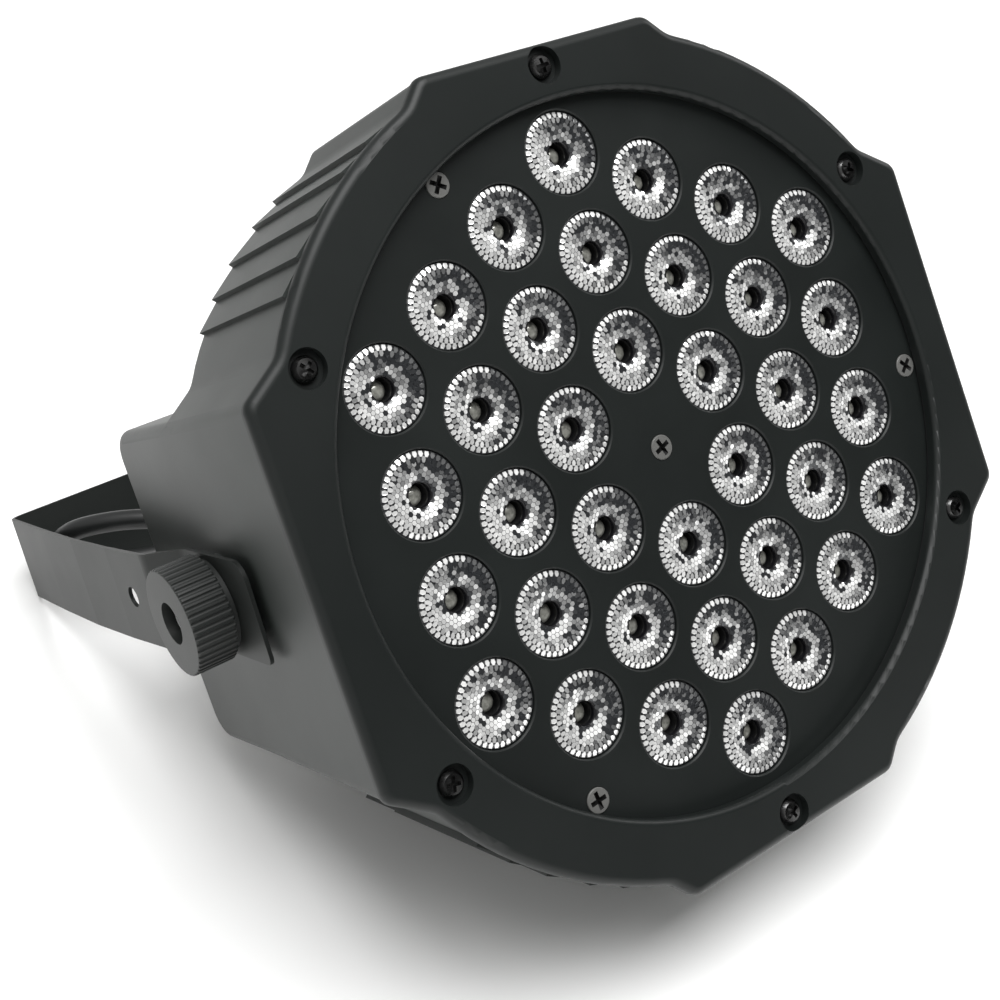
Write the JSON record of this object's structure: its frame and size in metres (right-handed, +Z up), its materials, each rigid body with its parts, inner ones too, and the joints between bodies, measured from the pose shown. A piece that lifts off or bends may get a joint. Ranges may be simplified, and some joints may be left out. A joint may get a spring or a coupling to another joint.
{
  "type": "par can light",
  "caption": "Flat LED par can stage light: a moulded head with flat sides and rounded corners and a lens face, hung in a U-shaped steel bracket with clamp knobs, with a mains lead",
  "frame": {"origin": "bottom centre of the lamp without its mains lead, on the floor it stands on", "axes": "+Z up, +X along the tilt axis to the right of the lens face, +Y backwards; the lens face looks towards -Y and up"},
  "size_m": [0.2204, 0.2301, 0.1936],
  "materials": {
    "bezel": "satin moulded black ABS with a fine spark texture",
    "rubber": "matt black foam rubber",
    "screw_black": "black oxide steel, slightly glossy",
    "plate": "matt black powder coat on sheet metal",
    "lens": "clear moulded optical plastic",
    "holder": "black moulded plastic",
    "emitter": "clear silicone dome over a white package",
    "board_white": "white solder mask on aluminium board",
    "aluminium": "plain extruded aluminium",
    "steel": "zinc-plated steel",
    "shell": "fine-grained moulded black ABS",
    "panel": "satin black painted steel sheet",
    "socket": "black glass-filled nylon",
    "contact": "nickel-plated brass",
    "latch": "glossy black plastic",
    "window": "dark red tinted acrylic",
    "display": "black potted four-digit display",
    "board_green": "green solder mask on glass laminate",
    "chip": "black epoxy and aluminium cans",
    "cord": "black flexible PVC with a slight sheen",
    "tie": "black plastic-coated twist band",
    "plug": "black moulded PVC",
    "pin": "nickel-plated brass pins",
    "strap": "satin black powder-coated steel strap",
    "knob": "black moulded nylon",
    "button": "black rubbery plastic"
  },
  "bodies": {
    "head": {"front_bezel": "bezel", "bezel_gasket": "rubber", "bezel_screws": "screw_black", "lens_plate": "plate", "plate_screws": "screw_black", "lenses_inner_ring": "lens", "lenses_middle_ring": "lens", "lenses_outer_ring": "lens", "lens_holders": "holder", "led_emitters": "emitter", "led_board": "board_white", "heat_sink": "aluminium", "plate_pillars": "steel", "housing_shell": "shell", "pivot_nuts": "steel", "rear_panel": "panel", "panel_screws": "screw_black", "dmx_in_socket": "socket", "dmx_in_pins": "contact", "dmx_out_socket": "socket", "dmx_out_contacts": "contact", "socket_screws": "screw_black", "display_window": "window", "display_module": "display", "control_board": "board_green", "control_board_parts": "chip", "power_board": "board_green", "power_board_parts": "chip", "board_pillars": "steel", "cord_gland": "cord", "power_cord": "cord", "power_cord_coil": "cord", "coil_tie": "tie", "plug_lead": "cord", "mains_plug": "plug", "plug_pins": "pin"},
    "dmx_latch": {"dmx_latch": "latch"},
    "bracket": {"bracket": "strap"},
    "left_washer": {"left_washer": "knob"},
    "right_washer": {"right_washer": "knob"},
    "left_knob": {"left_knob": "knob", "left_stud": "steel"},
    "right_knob": {"right_knob": "knob", "right_stud": "steel"},
    "menu_button_1": {"menu_button_1": "button"},
    "menu_button_2": {"menu_button_2": "button"},
    "menu_button_3": {"menu_button_3": "button"},
    "menu_button_4": {"menu_button_4": "button"}
  },
  "joints": [
    {"name": "bracket_tilt", "type": "hinge", "parent": "head", "child": "bracket", "pos_m": [0, -0.01295, 0.08199], "axis": [1, 0, 0], "range_deg": [-115, 105]},
    {"name": "left_clamp_slide", "type": "slide", "parent": "head", "child": "left_washer", "axis": [-1, 0, 0], "range_m": [0, 0.002]},
    {"name": "left_knob_turn", "type": "hinge", "parent": "left_washer", "child": "left_knob", "pos_m": [0, -0.01295, 0.08199], "axis": [-1, 0, 0], "range_deg": [0, 720]},
    {"name": "right_clamp_slide", "type": "slide", "parent": "head", "child": "right_washer", "axis": [1, 0, 0], "range_m": [0, 0.002]},
    {"name": "right_knob_turn", "type": "hinge", "parent": "right_washer", "child": "right_knob", "pos_m": [0, -0.01295, 0.08199], "axis": [1, 0, 0], "range_deg": [0, 720]},
    {"name": "menu_button_1_press", "type": "slide", "parent": "head", "child": "menu_button_1", "axis": [0, -0.8105, 0.5857], "range_m": [0, 0.0012], "stiffness_N_per_m": 400},
    {"name": "menu_button_2_press", "type": "slide", "parent": "head", "child": "menu_button_2", "axis": [0, -0.8105, 0.5857], "range_m": [0, 0.0012], "stiffness_N_per_m": 400},
    {"name": "menu_button_3_press", "type": "slide", "parent": "head", "child": "menu_button_3", "axis": [0, -0.8105, 0.5857], "range_m": [0, 0.0012], "stiffness_N_per_m": 400},
    {"name": "menu_button_4_press", "type": "slide", "parent": "head", "child": "menu_button_4", "axis": [0, -0.8105, 0.5857], "range_m": [0, 0.0012], "stiffness_N_per_m": 400},
    {"name": "dmx_latch_press", "type": "slide", "parent": "head", "child": "dmx_latch", "axis": [0, -0.8105, 0.5857], "range_m": [0, 0.0015], "stiffness_N_per_m": 400}
  ],
  "couplings": [
    {"joint": "left_knob_turn", "follows": "left_clamp_slide", "rad_per_m": 6283.2},
    {"joint": "right_knob_turn", "follows": "right_clamp_slide", "rad_per_m": 6283.2}
  ]
}
